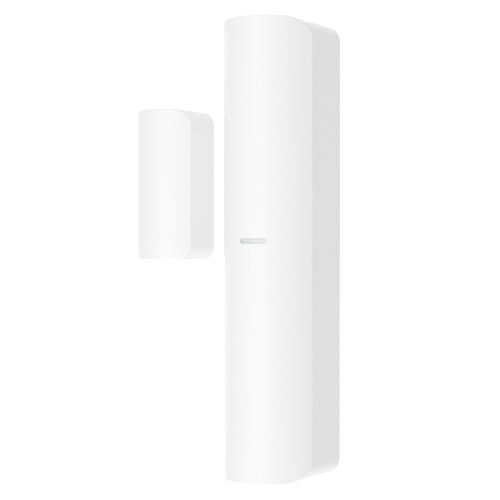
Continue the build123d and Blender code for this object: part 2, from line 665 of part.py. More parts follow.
def bar_magnet():
    bar = rod(BAR_RADIUS, (0, BAR_Y, -BAR_LENGTH / 2), (0, BAR_Y, BAR_LENGTH / 2))
    return chamfer(bar.edges().filter_by(GeomType.CIRCLE), 0.3)


def beside(shape):
    """Moves a piece of the magnet unit to its place beside the sensor."""
    return Pos(MAGNET_X, 0, MAGNET_Z) * shape


PIECES = {
    "back_plate": back_plate(),
    "upper_pad": pad(PAD_WIDTH, PAD_HEIGHT, PAD_Z),
    "lower_pad": pad(PAD_WIDTH, PAD_HEIGHT, -PAD_Z),
    "front_housing": front_housing(),
    "light_guide": light_guide(),
    "indicator_led": board_part((LED[0], -LED[1], LED[2]), (0, INDICATOR_Z), BOARD_FRONT),
    "circuit_board": circuit_board(),
    "board_screws": Compound(children=[board_screw(x, z) for x, z in BOARD_SCREWS]),
    "tamper_tube": tamper_tube(),
    "tamper_plunger": tamper_plunger(),
    "tamper_spring": tamper_spring(),
    "tamper_switch": tamper_switch(),
    "tamper_button": tamper_button(),
    "enrol_switch": enrol_switch(),
    "enrol_button": enrol_button(),
    "reed_glass": reed_glass(),
    "reed_lower_blade": reed_lead(-1) + reed_blade(-1),
    "reed_upper_lead": reed_lead(1),
    "reed_upper_blade": reed_blade(1),
    "antenna": antenna(),
    "radio_board": board_part(RADIO_BOARD, RADIO_PLACE),
    "radio_shield": radio_shield(),
    "controller_chip": board_part(CONTROLLER, CONTROLLER_PLACE),
    "storage_capacitor": storage_capacitor(),
    "crystal": board_part(CRYSTAL, CRYSTAL_PLACE),
    "chip_parts": chip_parts(),
    "battery_can": battery_can(),
    "battery_ring": battery_ring(),
    "battery_sleeve": battery_sleeve(),
    "battery_cradle": battery_cradle(),
    "positive_contact": positive_contact(),
    "negative_contact": negative_contact(),
    "cell_spring": cell_spring(),
    "magnet_cover": beside(magnet_cover()),
    "magnet_base": beside(magnet_base()),
    "bar_magnet": beside(bar_magnet()),
    "magnet_pad": beside(pad(MAGNET_PAD_WIDTH, MAGNET_PAD_HEIGHT, 0)),
}

os.makedirs("parts", exist_ok=True)
for name, shape in PIECES.items():
    export_step(shape, f"parts/{name}.step")
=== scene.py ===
import math
import random

import bmesh
import bpy
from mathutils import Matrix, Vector


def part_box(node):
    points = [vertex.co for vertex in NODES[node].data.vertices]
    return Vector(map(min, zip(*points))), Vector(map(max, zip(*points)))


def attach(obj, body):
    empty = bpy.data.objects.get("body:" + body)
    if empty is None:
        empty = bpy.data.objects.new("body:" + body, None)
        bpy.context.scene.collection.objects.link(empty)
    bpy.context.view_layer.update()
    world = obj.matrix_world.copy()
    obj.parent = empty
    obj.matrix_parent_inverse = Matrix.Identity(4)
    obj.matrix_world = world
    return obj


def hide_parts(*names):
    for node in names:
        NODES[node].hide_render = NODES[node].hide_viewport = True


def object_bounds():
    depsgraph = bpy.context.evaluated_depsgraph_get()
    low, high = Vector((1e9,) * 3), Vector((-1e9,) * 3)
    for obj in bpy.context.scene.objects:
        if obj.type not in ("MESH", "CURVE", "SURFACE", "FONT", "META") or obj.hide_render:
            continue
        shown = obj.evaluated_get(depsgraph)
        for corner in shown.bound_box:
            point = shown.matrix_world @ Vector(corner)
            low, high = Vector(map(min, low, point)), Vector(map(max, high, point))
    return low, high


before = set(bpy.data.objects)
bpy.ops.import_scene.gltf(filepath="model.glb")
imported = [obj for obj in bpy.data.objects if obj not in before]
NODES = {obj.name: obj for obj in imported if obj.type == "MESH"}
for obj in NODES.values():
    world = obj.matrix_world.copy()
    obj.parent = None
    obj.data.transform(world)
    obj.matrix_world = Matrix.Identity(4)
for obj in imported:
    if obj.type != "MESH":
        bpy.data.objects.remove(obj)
CAD_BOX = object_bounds()
MM = 0.001
REARWARD = Vector((0, 1, 0))

# ---- Camera, at the photograph's viewing angle: level, and turned to the sensor's right ----
VIEW_AZIMUTH = math.radians(34.0)
CAMERA_DISTANCE = 0.3235
CAMERA_SIDE = -0.0123
LENS = 92.95
SENSOR_WIDTH_MM = 36.0

# ---- Studio: even light all round, a large key, four weaker fill lights, and a small one in the gap ----
SKY_SEEN = 1.05
SKY_LIGHT = 0.70
KEY_AZIMUTH = math.radians(14.0)
KEY_DISTANCE = 1.4
KEY_SIZE = 0.9
KEY_POWER = 4.8
FILL_SIZE = 0.7
LEFT_AZIMUTH = math.radians(-110.0)
LEFT_DISTANCE = 1.3
LEFT_POWER = 1.7
REAR_PLACE = (-0.25, 1.2, 0.55)
REAR_POWER = 1.6
BELOW_PLACE = (0.05, -0.15, -0.75)
BELOW_POWER = 2.7
ABOVE_PLACE = (0.15, -0.35, 1.1)
ABOVE_POWER = 1.65
GAP_SIZE = (0.008, 0.055)
GAP_CLEARANCE = 0.2 * MM
GAP_REARWARD = 0.72
GAP_POWER = 0.00055
FLOOR_DROP = 0.02
FLOOR_HALF = 12.0
FLOOR_GLOW = 0.95

# ---- Finishes ----
WORN_EDGE = 0.4 * MM
EDGE_BEGINS = 0.995
EDGE_FULL = 0.85
RELIEF_DISTANCE = 0.05 * MM
GLOW_DEPTH = 1.0 * MM
GLASS_INDEX = 1.48
# where each printed band on the cell starts, as a share of its height, and whether it is printed
CELL_BANDS = ((0.0, 0.0), (0.74, 1.0), (0.80, 0.0), (0.82, 1.0), (0.835, 0.0))

# ---- The push switch's legs, the antenna's foot, and the board's copper and print ----
LEG_OUT = 0.55 * MM
LEG_SPREAD = 2.2 * MM
ANTENNA_END = 0.45 * MM
COPPER_HEIGHT = 0.035 * MM
TRACK_HEIGHT = COPPER_HEIGHT * 0.7
TRACK_WIDTH = 0.26 * MM
TRACK_STEP = 0.65 * MM
INK_HEIGHT = 0.02 * MM
INK_WIDTH = 0.15 * MM
DOME_TURNS = (0, 0.4, 0.8, 1.2)

# ---- The pads' liners ----
LINER_ROOM = 0.14 * MM
LINER_SPLIT = 0.38
LINER_CORNER = 1.0 * MM
LINER_SHEET = 0.06 * MM
LINER_DEPTH = 0.02 * MM
LINER_WAVE = 0.015 * MM


# ---- Node material helpers ----
def new_material(name):
    """An empty node material with its output and principled shader."""
    material = bpy.data.materials.new(name)
    material.use_nodes = True
    nodes = material.node_tree.nodes
    nodes.clear()
    output = nodes.new("ShaderNodeOutputMaterial")
    shader = nodes.new("ShaderNodeBsdfPrincipled")
    material.node_tree.links.new(shader.outputs["BSDF"], output.inputs["Surface"])
    return material


def add(material, kind, inputs=None, **settings):
    """A new node, with its properties and its inputs' values set by name."""
    node = material.node_tree.nodes.new(kind)
    for key, value in settings.items():
        setattr(node, key, value)
    for key, value in (inputs or {}).items():
        node.inputs[key].default_value = value
    return node


def link(material, source, target):
    material.node_tree.links.new(source, target)


def shader_of(material):
    return material.node_tree.nodes["Principled BSDF"]


def object_place(material, stretch=(1, 1, 1)):
    """The point's place on the object, which moves with it, stretched for drawn or brushed grain."""
    place = add(material, "ShaderNodeTexCoord").outputs["Object"]
    scaled = add(material, "ShaderNodeVectorMath", {1: stretch}, operation="MULTIPLY")
    link(material, place, scaled.inputs[0])
    return scaled.outputs["Vector"]


def noise(material, place, scale, detail=3.0, rough=0.55):
    texture = add(material, "ShaderNodeTexNoise", {"Scale": scale, "Detail": detail, "Roughness": rough})
    link(material, place, texture.inputs["Vector"])
    return texture.outputs["Fac"]


def spread(material, value, low, high, from_low=0.0, from_high=1.0):
    """Maps a value from one range to another."""
    limits = {"From Min": from_low, "From Max": from_high, "To Min": low, "To Max": high}
    node = add(material, "ShaderNodeMapRange", limits)
    link(material, value, node.inputs["Value"])
    return node.outputs["Result"]


def blend_colour(material, factor, first, second):
    """Mixes two colours, each given as numbers or as another node's output."""
    node = add(material, "ShaderNodeMix", data_type="RGBA")
    link(material, factor, node.inputs["Factor"])
    for socket, colour in ((node.inputs[6], first), (node.inputs[7], second)):
        if isinstance(colour, tuple):
            socket.default_value = (*colour, 1)
        else:
            link(material, colour, socket)
    return node.outputs[2]


def edge_mask(material):
    """1 on edges sharper than the worn edge's radius, and 0 on open surfaces."""
    soft = add(material, "ShaderNodeBevel", {"Radius": WORN_EDGE}, samples=4)
    sharp = add(material, "ShaderNodeNewGeometry").outputs["Normal"]
    bend = add(material, "ShaderNodeVectorMath", operation="DOT_PRODUCT")
    link(material, soft.outputs["Normal"], bend.inputs[0])
    link(material, sharp, bend.inputs[1])
    return spread(material, bend.outputs["Value"], 0.0, 1.0, EDGE_BEGINS, EDGE_FULL)


def relief(material, height, strength):
    """Raises a height in relief, on top of any relief that the shader already has."""
    bump = add(material, "ShaderNodeBump", {"Strength": strength, "Distance": RELIEF_DISTANCE})
    link(material, height, bump.inputs["Height"])
    normal = shader_of(material).inputs["Normal"]
    if normal.is_linked:
        link(material, normal.links[0].from_socket, bump.inputs["Normal"])
    link(material, bump.outputs["Normal"], normal)


def paint_over(material, factor, colour):
    """Lays another colour over the finish's own, as far as the factor says."""
    base = shader_of(material).inputs["Base Color"]
    link(material, blend_colour(material, factor, base.links[0].from_socket, colour), base)


def surface(
    name, colour, rough, metallic=0.0, tint=0.04, mottle=60.0, grain=4000.0, stretch=(1, 1, 1),
    bump=0.05, wear=0.0, worn=(1.0, 1.0, 1.0), coat=0.0, clear=0.0, under=0.0,
):
    """One finish: mottled colour, worn edges, roughness that varies, and a fine grain in relief."""
    material = new_material(name)
    shader = shader_of(material)
    place = object_place(material, stretch)
    patches = noise(material, place, mottle, 4.0)
    low = tuple(c * (1 - tint) for c in colour)
    high = tuple(min(1.0, c * (1 + tint)) for c in colour)
    shade = blend_colour(material, patches, low, high)
    link(material, shade, shader.inputs["Base Color"])
    paint_over(material, spread(material, edge_mask(material), 0.0, wear), worn)
    link(material, spread(material, patches, rough - 0.06, rough + 0.08), shader.inputs["Roughness"])
    relief(material, noise(material, place, grain, 2.0, 0.6), bump)
    shader.inputs["Metallic"].default_value = metallic
    shader.inputs["Coat Weight"].default_value = coat
    shader.inputs["Transmission Weight"].default_value = clear
    shader.inputs["Subsurface Weight"].default_value = under
    shader.inputs["Subsurface Scale"].default_value = GLOW_DEPTH
    return material


def board_material(name, colour):
    """Solder mask over woven glass: crossed threads in faint relief, and the pale laminate at the edges."""
    laminate = (0.55, 0.52, 0.32)
    material = surface(
        name, colour, 0.32, tint=0.10, mottle=140.0, bump=0.04, wear=0.35, worn=laminate, coat=0.5
    )
    weave = {"Scale": 420.0, "Distortion": 0.4}
    threads = []
    for direction in ("X", "Z"):
        wave = add(material, "ShaderNodeTexWave", weave, bands_direction=direction)
        link(material, object_place(material), wave.inputs["Vector"])
        threads.append(wave.outputs["Fac"])
    cloth = add(material, "ShaderNodeMath", operation="MAXIMUM")
    link(material, threads[0], cloth.inputs[0])
    link(material, threads[1], cloth.inputs[1])
    relief(material, cloth.outputs["Value"], 0.12)
    return material


def wrap_material(name, colour, band):
    """Shrunk film on a cell: a wide and a narrow band near the positive end, and fine shrink lines."""
    low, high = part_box("battery_sleeve")
    material = surface(
        name, colour, 0.24, tint=0.05, mottle=90.0, grain=700.0, stretch=(1, 1, 0.15), coat=0.7
    )
    axes = add(material, "ShaderNodeSeparateXYZ")
    link(material, object_place(material), axes.inputs["Vector"])
    level = spread(material, axes.outputs["Z"], 0.0, 1.0, low.z, high.z)
    ramp = add(material, "ShaderNodeValToRGB")
    ramp.color_ramp.interpolation = "CONSTANT"
    while len(ramp.color_ramp.elements) < len(CELL_BANDS):
        ramp.color_ramp.elements.new(0.5)
    for element, (start, value) in zip(ramp.color_ramp.elements, CELL_BANDS):
        element.position = start
        element.color = (value, value, value, 1)
    link(material, level, ramp.inputs["Fac"])
    paint_over(material, ramp.outputs["Color"], band)
    return material


def island_material(name, dark, light, rough):
    """Moulded ceramic whose tone differs a little from one chip to the next."""
    material = surface(name, dark, rough, tint=0.12, mottle=900.0, grain=9000.0, bump=0.08)
    pick = add(material, "ShaderNodeNewGeometry").outputs["Random Per Island"]
    paint_over(material, spread(material, pick, 0.0, 0.8), light)
    return material


def glass_material(name):
    """Clear tube glass with a faint green cast and drawn streaks."""
    material = surface(
        name, (0.86, 0.96, 0.91), 0.06, tint=0.02, stretch=(1, 1, 0.1), grain=900.0, bump=0.05, clear=1.0
    )
    shader_of(material).inputs["IOR"].default_value = GLASS_INDEX
    return material


WHITE = surface(
    "white_plastic", (0.90, 0.90, 0.90), 0.46, tint=0.006, mottle=55.0, grain=9000.0, bump=0.03, wear=0.04
)
PLATE = surface(
    "plate_plastic", (0.83, 0.83, 0.825), 0.52, tint=0.015, mottle=50.0, grain=5200.0, bump=0.10, wear=0.15
)
# Light guide: its own grey translucent tone, darkened further as painted shade standing in for the shade
# inside its recessed slot
GREY_PIPE_WITH_PAINTED_SHADE = surface(
    "light_pipe", (0.75, 0.75, 0.755), 0.30, tint=0.02, grain=5000.0, bump=0.02, coat=0.3, under=0.35
)
LAMP = surface("lamp", (0.93, 0.88, 0.55), 0.18, tint=0.03, coat=0.6, under=0.3)
LAMP_BODY = surface("lamp_body", (0.86, 0.85, 0.82), 0.4, tint=0.02, wear=0.1)
BOARD_GREEN = board_material("circuit_green", (0.012, 0.105, 0.045))
BOARD_BLUE = board_material("radio_blue", (0.010, 0.035, 0.115))
TRACK = surface("track_mask", (0.030, 0.19, 0.075), 0.28, tint=0.06, mottle=200.0, bump=0.05, coat=0.5)
GOLD = surface("gold_pad", (0.83, 0.62, 0.28), 0.30, metallic=1.0, tint=0.08, mottle=300.0, bump=0.10)
SILK = surface("silkscreen", (0.80, 0.80, 0.76), 0.6, tint=0.05, mottle=900.0, bump=0.20)
SOLDER = surface(
    "solder", (0.74, 0.75, 0.76), 0.24, metallic=1.0, tint=0.08, mottle=700.0, grain=2500.0, bump=0.12
)
ZINC = surface(
    "zinc_steel", (0.70, 0.71, 0.70), 0.28, metallic=1.0, tint=0.07, mottle=500.0, wear=0.5, bump=0.10
)
SPRING = surface(
    "spring_steel", (0.52, 0.52, 0.51), 0.26, metallic=1.0, tint=0.10, mottle=400.0, bump=0.08
)
STAMPED = surface(
    "contact_nickel", (0.74, 0.72, 0.66), 0.30, metallic=1.0, tint=0.06, mottle=120.0, stretch=(1, 1, 0.08),
    grain=3000.0, bump=0.08, wear=0.5,
)
TINPLATE = surface(
    "shield_metal", (0.70, 0.71, 0.72), 0.33, metallic=1.0, tint=0.06, mottle=160.0, stretch=(0.12, 1, 1),
    grain=2600.0, bump=0.10, wear=0.6,
)
CELL_METAL = surface(
    "cell_nickel", (0.73, 0.73, 0.70), 0.28, metallic=1.0, tint=0.06, mottle=150.0, bump=0.06, wear=0.4
)
MAGNET_METAL = surface(
    "magnet_nickel", (0.56, 0.56, 0.57), 0.30, metallic=1.0, tint=0.12, mottle=240.0, grain=1800.0,
    bump=0.12, wear=0.6,
)
COPPER = surface(
    "antenna_copper", (0.72, 0.33, 0.15), 0.27, metallic=1.0, tint=0.10, mottle=500.0, bump=0.08, coat=0.5
)
REED_METAL = surface(
    "reed_metal", (0.66, 0.62, 0.54), 0.28, metallic=1.0, tint=0.08, mottle=800.0, bump=0.10
)
BLACK = surface(
    "black_plastic", (0.018, 0.018, 0.019), 0.50, tint=0.25, mottle=120.0, grain=3600.0, bump=0.14, wear=0.25,
    worn=(0.10, 0.10, 0.10),
)
CHIP_BLACK = surface(
    "chip_black", (0.022, 0.022, 0.023), 0.56, tint=0.2, mottle=500.0, grain=8000.0, bump=0.25, wear=0.2,
    worn=(0.08, 0.08, 0.08),
)
CREAM = surface("cream_plastic", (0.76, 0.71, 0.60), 0.42, tint=0.03, mottle=90.0, bump=0.10, wear=0.25)
RED = surface(
    "button_plastic", (0.52, 0.035, 0.030), 0.30, tint=0.08, mottle=300.0, bump=0.05, wear=0.3, coat=0.4
)
YELLOW = surface(
    "capacitor_yellow", (0.68, 0.36, 0.035), 0.36, tint=0.06, mottle=400.0, bump=0.12, wear=0.3
)
BAND = surface("capacitor_band", (0.20, 0.07, 0.02), 0.4, tint=0.08, mottle=500.0, bump=0.10)
CERAMIC = island_material("chip_ceramic", (0.30, 0.19, 0.10), (0.05, 0.05, 0.055), 0.42)
FOAM = surface(
    "foam_tape", (0.030, 0.030, 0.032), 0.85, tint=0.35, mottle=700.0, grain=1500.0, bump=0.6
)
LINER = surface(
    "release_liner", (0.78, 0.74, 0.62), 0.22, tint=0.03, mottle=45.0, grain=300.0, bump=0.10, coat=0.6
)
INK = surface("print_white", (0.80, 0.80, 0.80), 0.4, tint=0.04, mottle=600.0, bump=0.05)
WRAP = wrap_material("cell_wrap", (0.012, 0.05, 0.17), (0.70, 0.72, 0.74))
GLASS = glass_material("reed_glass")

NODE_MATERIALS = {
    "front_housing": WHITE,
    "magnet_cover": WHITE,
    "back_plate": PLATE,
    "magnet_base": PLATE,
    "light_guide": GREY_PIPE_WITH_PAINTED_SHADE,
    "circuit_board": BOARD_GREEN,
    "board_screws": ZINC,
    "tamper_tube": CREAM,
    "tamper_plunger": CREAM,
    "tamper_spring": SPRING,
    "tamper_switch": BLACK,
    "tamper_button": RED,
    "enrol_switch": BLACK,
    "enrol_button": RED,
    "reed_glass": GLASS,
    "reed_lower_blade": REED_METAL,
    "reed_upper_lead": REED_METAL,
    "reed_upper_blade": REED_METAL,
    "antenna": COPPER,
    "radio_board": BOARD_BLUE,
    "radio_shield": TINPLATE,
    "controller_chip": CHIP_BLACK,
    "storage_capacitor": YELLOW,
    "battery_can": CELL_METAL,
    "battery_ring": BLACK,
    "battery_sleeve": WRAP,
    "battery_cradle": BLACK,
    "positive_contact": STAMPED,
    "negative_contact": STAMPED,
    "cell_spring": SPRING,
    "bar_magnet": MAGNET_METAL,
}


def dress(name, material):
    """Gives a CAD node its material."""
    data = NODES[name].data
    data.materials.clear()
    data.materials.append(material)
    for polygon in data.polygons:
        polygon.material_index = 0


for node, finish in NODE_MATERIALS.items():
    dress(node, finish)


# ---- Mesh helpers. Every piece is made in place, in metres, in the frame's own axes. ----
def make_piece(name, shape, material, body, sharp=35.0):
    """Turns a finished bmesh into a piece that rides a body."""
    bmesh.ops.recalc_face_normals(shape, faces=shape.faces)
    data = bpy.data.meshes.new(name)
    shape.to_mesh(data)
    shape.free()
    data.shade_smooth()
    data.set_sharp_from_angle(angle=math.radians(sharp))
    data.materials.append(material)
    piece = bpy.data.objects.new(name, data)
    bpy.context.scene.collection.objects.link(piece)
    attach(piece, body)
    return piece


def add_block(shape, low, high, bevel=0.0, segments=2):
    """A block between two corners, with rounded edges."""
    low, high = Vector(low), Vector(high)
    verts = bmesh.ops.create_cube(shape, size=1.0)["verts"]
    middle, size = (low + high) / 2, high - low
    for vert in verts:
        vert.co = middle + Vector(c * s for c, s in zip(vert.co, size))
    if bevel:
        edges = list({edge for vert in verts for edge in vert.link_edges})
        geometry = verts + edges
        bmesh.ops.bevel(shape, geom=geometry, offset=bevel, segments=segments, affect="EDGES", profile=0.5)


def add_turned(shape, middle, profile, count):
    """A closed body turned about the Y axis. The profile is (radius, distance rearward), from end to end."""
    side, other = Vector((0, 0, 1)), Vector((1, 0, 0))
    rings = []
    for radius, step in profile:
        hub = Vector(middle) + REARWARD * step
        if radius == 0:
            rings.append([shape.verts.new(hub)])
            continue
        turns = [2 * math.pi * k / count for k in range(count)]
        ways = [side * math.cos(t) + other * math.sin(t) for t in turns]
        rings.append([shape.verts.new(hub + way * radius) for way in ways])
    for first, second in zip(rings, rings[1:]):
        for k in range(count):
            corners = [first[k % len(first)], first[(k + 1) % len(first)]]
            corners += [second[(k + 1) % len(second)], second[k % len(second)]]
            shape.faces.new(list(dict.fromkeys(corners)))
    for ring in (rings[0], rings[-1]):
        if len(ring) > 1:
            shape.faces.new(ring)


def add_strip(shape, points, across, width, thickness):
    """A flat strip along a bent path. Across is the direction of its width."""
    points, across = [Vector(p) for p in points], Vector(across).normalized()
    sections = []
    for k, point in enumerate(points):
        before = (point - points[max(k - 1, 0)]).normalized()
        after = (points[min(k + 1, len(points) - 1)] - point).normalized()
        normals = [across.cross(d) for d in (before, after) if d.length > 0]
        normal = sum(normals, Vector()).normalized()
        lift = normal * thickness / 2 / max(0.5, normal.dot(normals[0]))
        side = across * width / 2
        corners = ((side, lift), (-side, lift), (-side, -lift), (side, -lift))
        sections.append([shape.verts.new(point + a + b) for a, b in corners])
    for first, second in zip(sections, sections[1:]):
        for k in range(4):
            shape.faces.new((first[k], first[(k + 1) % 4], second[(k + 1) % 4], second[k]))
    shape.faces.new(sections[0])
    shape.faces.new(sections[-1])


def add_track(shape, points, width, height):
    """A flat line on the board's rear face, drawn through (x, z) points. Its runs overlap at the bends."""
    path = [Vector((x, BOARD_REAR + height / 2, z)) for x, z in points]
    runs = [pair for pair in zip(path, path[1:]) if (pair[1] - pair[0]).length > width * 0.01]
    for first, second in runs:
        along = (second - first).normalized()
        overlap = along * width * 0.2
        add_strip(shape, (first - overlap, second + overlap), REARWARD.cross(along), width, height)


def islands(name):
    """The low and high corners of each separate solid in a CAD node."""
    shape = bmesh.new()
    shape.from_mesh(NODES[name].data)
    bmesh.ops.remove_doubles(shape, verts=shape.verts, dist=1e-6)
    left, boxes = set(shape.verts), []
    while left:
        group, todo = set(), [min(left, key=lambda v: v.index)]
        while todo:
            vert = todo.pop()
            if vert in group:
                continue
            group.add(vert)
            todo.extend(edge.other_vert(vert) for edge in vert.link_edges)
        left -= group
        corners = [[vert.co[axis] for vert in group] for axis in range(3)]
        boxes.append((Vector(map(min, corners)), Vector(map(max, corners))))
    shape.free()
    return sorted(boxes, key=lambda box: (round(box[0].z, 6), round(box[0].x, 6)))


def centre(node):
    low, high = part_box(node)
    return (low + high) / 2


BOARD_LOW, BOARD_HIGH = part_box("circuit_board")
BOARD_REAR = BOARD_HIGH.y


# ---- Parts soldered to the board ----
def passives():
    """Small two-ended chips: a ceramic body between two tinned caps, with solder up each end."""
    bodies, caps, joints = bmesh.new(), bmesh.new(), bmesh.new()
    cap, gap = 0.32 * MM, 0.03 * MM
    past_end, past_side, half_length, rise = 0.12 * MM, 0.05 * MM, 0.26 * MM, 0.16 * MM
    for low, high in islands("chip_parts"):
        inner = Vector((gap, 0, cap * 0.6))
        add_block(bodies, low + inner, high - inner - Vector((0, gap, 0)), 0.04 * MM)
        for z0, z1 in ((low.z, low.z + cap), (high.z - cap, high.z)):
            add_block(caps, (low.x, low.y, z0), (high.x, high.y, z1), 0.05 * MM)
        for z, way in ((low.z, -1), (high.z, 1)):
            foot = Vector(((low.x + high.x) / 2, low.y, z + way * past_end))
            half = Vector(((high.x - low.x) / 2 + past_side, 0, half_length))
            add_block(joints, foot - half, foot + half + Vector((0, rise, 0)), 0.07 * MM, 3)
    piece = make_piece("passive_bodies", bodies, CERAMIC, "housing")
    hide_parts("chip_parts")
    make_piece("passive_caps", caps, SOLDER, "housing")
    make_piece("passive_joints", joints, SOLDER, "housing")


def crystal():
    """A dark ceramic tray with a pressed metal lid."""
    low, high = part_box("crystal")
    rim, tray_top, lid_foot = 0.18 * MM, low.y + 0.45 * MM, low.y + 0.42 * MM
    tray, lid = bmesh.new(), bmesh.new()
    add_block(tray, low, (high.x, tray_top, high.z), 0.06 * MM)
    lid_low = (low.x + rim, lid_foot, low.z + rim)
    add_block(lid, lid_low, (high.x - rim, high.y, high.z - rim), 0.14 * MM, 4)
    piece = make_piece("crystal_tray", tray, CHIP_BLACK, "housing")
    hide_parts("crystal")
    make_piece("crystal_lid", lid, TINPLATE, "housing")


def capacitor():
    """Folded tin terminals at both ends, and a dark band at the positive one."""
    low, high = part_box("storage_capacitor")
    x = (low.x + high.x) / 2
    tin, width = 0.12 * MM, 2.2 * MM
    foot, rise, reach = low.y + tin / 2, low.y + 1.3 * MM, 0.7 * MM
    metal, band = bmesh.new(), bmesh.new()
    for z, way in ((low.z, -1), (high.z, 1)):
        out = z + way * tin
        add_strip(metal, [(x, foot, z - way * reach), (x, foot, out), (x, rise, out)], (1, 0, 0), width, tin)
    edge, top = 0.34 * MM, high.y + 0.01 * MM
    band_low = (low.x + edge, top - 0.03 * MM, high.z - 1.5 * MM)
    add_block(band, band_low, (high.x - edge, top, high.z - 0.5 * MM))
    make_piece("capacitor_terminals", metal, SOLDER, "housing")
    make_piece("capacitor_stripe", band, BAND, "housing")


def controller():
    """A flat chip's tinned edge contacts on all four sides, and the dot by its first one."""
    low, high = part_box("controller_chip")
    middle = (low + high) / 2
    contacts, dot = bmesh.new(), bmesh.new()
    pitch, count, reach = 0.65 * MM, 8, 0.28 * MM
    half, rise = Vector((0.135 * MM, 0, 0.135 * MM)), Vector((0, 0.2 * MM, 0))
    for k in range(count):
        step = (k - (count - 1) / 2) * pitch
        for side in (-1, 1):
            for spot, long_way in (
                ((middle.x + step, middle.z + side * (high.z - low.z) / 2), Vector((0, 0, reach))),
                ((middle.x + side * (high.x - low.x) / 2, middle.z + step), Vector((reach, 0, 0))),
            ):
                point = Vector((spot[0], low.y, spot[1]))
                size = half + long_way
                add_block(contacts, point - size, point + size + rise, 0.05 * MM)
    inset = 0.9 * MM
    profile = ((0.32 * MM, -0.02 * MM), (0.32 * MM, 0.008 * MM), (0.26 * MM, 0.012 * MM))
    add_turned(dot, (low.x + inset, high.y, high.z - inset), profile, 20)
    make_piece("controller_contacts", contacts, SOLDER, "housing")
    make_piece("controller_dot", dot, SILK, "housing")


def radio_module():
    """Half-round plated edge contacts down both sides, and nine vents pressed in the shield."""
    low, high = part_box("radio_board")
    contacts = bmesh.new()
    pitch = 1.27 * MM
    count = int((high.z - low.z - 2 * MM) / pitch)
    start = (low.z + high.z) / 2 - (count - 1) * pitch / 2
    top = high.y - low.y + COPPER_HEIGHT
    profile = ((0.42 * MM, 0.0), (0.42 * MM, top), (0.30 * MM, top))
    for k in range(count):
        for x in (low.x, high.x):
            add_turned(contacts, (x, low.y, start + k * pitch), profile, 16)
    make_piece("radio_contacts", contacts, GOLD, "housing")
    can_low, can_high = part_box("radio_shield")
    middle = (can_low + can_high) / 2
    vents = bmesh.new()
    step = 2.6 * MM
    ring = ((0.40 * MM, -0.02 * MM), (0.44 * MM, 0.02 * MM), (0.36 * MM, 0.03 * MM), (0.30 * MM, -0.01 * MM))
    for row in (-1, 0, 1):
        for column in (-1, 0, 1):
            add_turned(vents, (middle.x + column * step, can_high.y, middle.z + row * step), ring, 18)
    make_piece("shield_vents", vents, TINPLATE, "housing")


def enrol_cover():
    """A pressed steel cover on the push switch, with four rivet heads and a round hole for the button."""
    low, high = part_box("enrol_switch")
    middle, half = centre("enrol_button"), (high.x - low.x) / 2 - 0.05 * MM
    hole, corner = 1.85 * MM, 2.25 * MM
    bottom, top = high.y - 0.02 * MM, high.y + 0.12 * MM
    sheet = bmesh.new()
    count = 48
    inner, outer = [], []
    for k in range(count):
        turn = 2 * math.pi * (k + 0.5) / count
        way = Vector((math.cos(turn), 0, math.sin(turn)))
        reach = half / max(abs(way.x), abs(way.z))
        inner.append(way * hole)
        outer.append(way * reach)
    layers = []
    for y in (bottom, top):
        at = Vector((middle.x, y, middle.z))
        layers.append(([sheet.verts.new(at + p) for p in inner], [sheet.verts.new(at + p) for p in outer]))
    (low_in, low_out), (high_in, high_out) = layers
    for k in range(count):
        n = (k + 1) % count
        sheet.faces.new((high_in[k], high_in[n], high_out[n], high_out[k]))
        sheet.faces.new((low_in[k], low_out[k], low_out[n], low_in[n]))
        sheet.faces.new((high_out[k], high_out[n], low_out[n], low_out[k]))
        sheet.faces.new((high_in[k], low_in[k], low_in[n], high_in[n]))
    for sx in (-1, 1):
        for sz in (-1, 1):
            spot = (middle.x + sx * corner, top, middle.z + sz * corner)
            head = ((0.40 * MM, -0.03 * MM), (0.40 * MM, 0.05 * MM), (0.28 * MM, 0.12 * MM), (0.0, 0.15 * MM))
            add_turned(sheet, spot, head, 20)
    make_piece("enrol_cover", sheet, TINPLATE, "housing")


def enrol_legs():
    """Four bent tin legs from the push switch's sides down to the board."""
    low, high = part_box("enrol_switch")
    middle = (low + high) / 2
    legs = bmesh.new()
    for side, x in ((-1, low.x), (1, high.x)):
        for z in (middle.z - LEG_SPREAD, middle.z + LEG_SPREAD):
            knee = x + side * LEG_OUT
            path = [
                (x - side * 0.2 * MM, low.y + 1.3 * MM, z),
                (knee - side * 0.15 * MM, low.y + 1.3 * MM, z),
                (knee, low.y + 1.1 * MM, z),
                (knee, low.y + 0.02 * MM, z),
            ]
            add_strip(legs, path, (0, 0, 1), 0.7 * MM, 0.2 * MM)
    make_piece("enrol_legs", legs, SOLDER, "housing")


def joint_places():
    """The points on the board, as (x, z, radius), where a wire or leg is soldered."""
    leg_radius, wire_radius, lead_end = 0.62 * MM, 0.85 * MM, 0.25 * MM
    spots = []
    for node in ("reed_lower_blade", "reed_upper_lead"):
        low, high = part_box(node)
        z = low.z + lead_end if node == "reed_lower_blade" else high.z - lead_end
        spots.append(((low.x + high.x) / 2, z, leg_radius))
    low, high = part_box("antenna")
    for x in (low.x + ANTENNA_END, high.x - ANTENNA_END):
        spots.append((x, low.z + 0.40 * MM, wire_radius))
    low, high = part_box("enrol_switch")
    for x in (low.x - LEG_OUT, high.x + LEG_OUT):
        for way in (-1, 1):
            spots.append((x, centre("enrol_switch").z + way * LEG_SPREAD, leg_radius))
    return spots


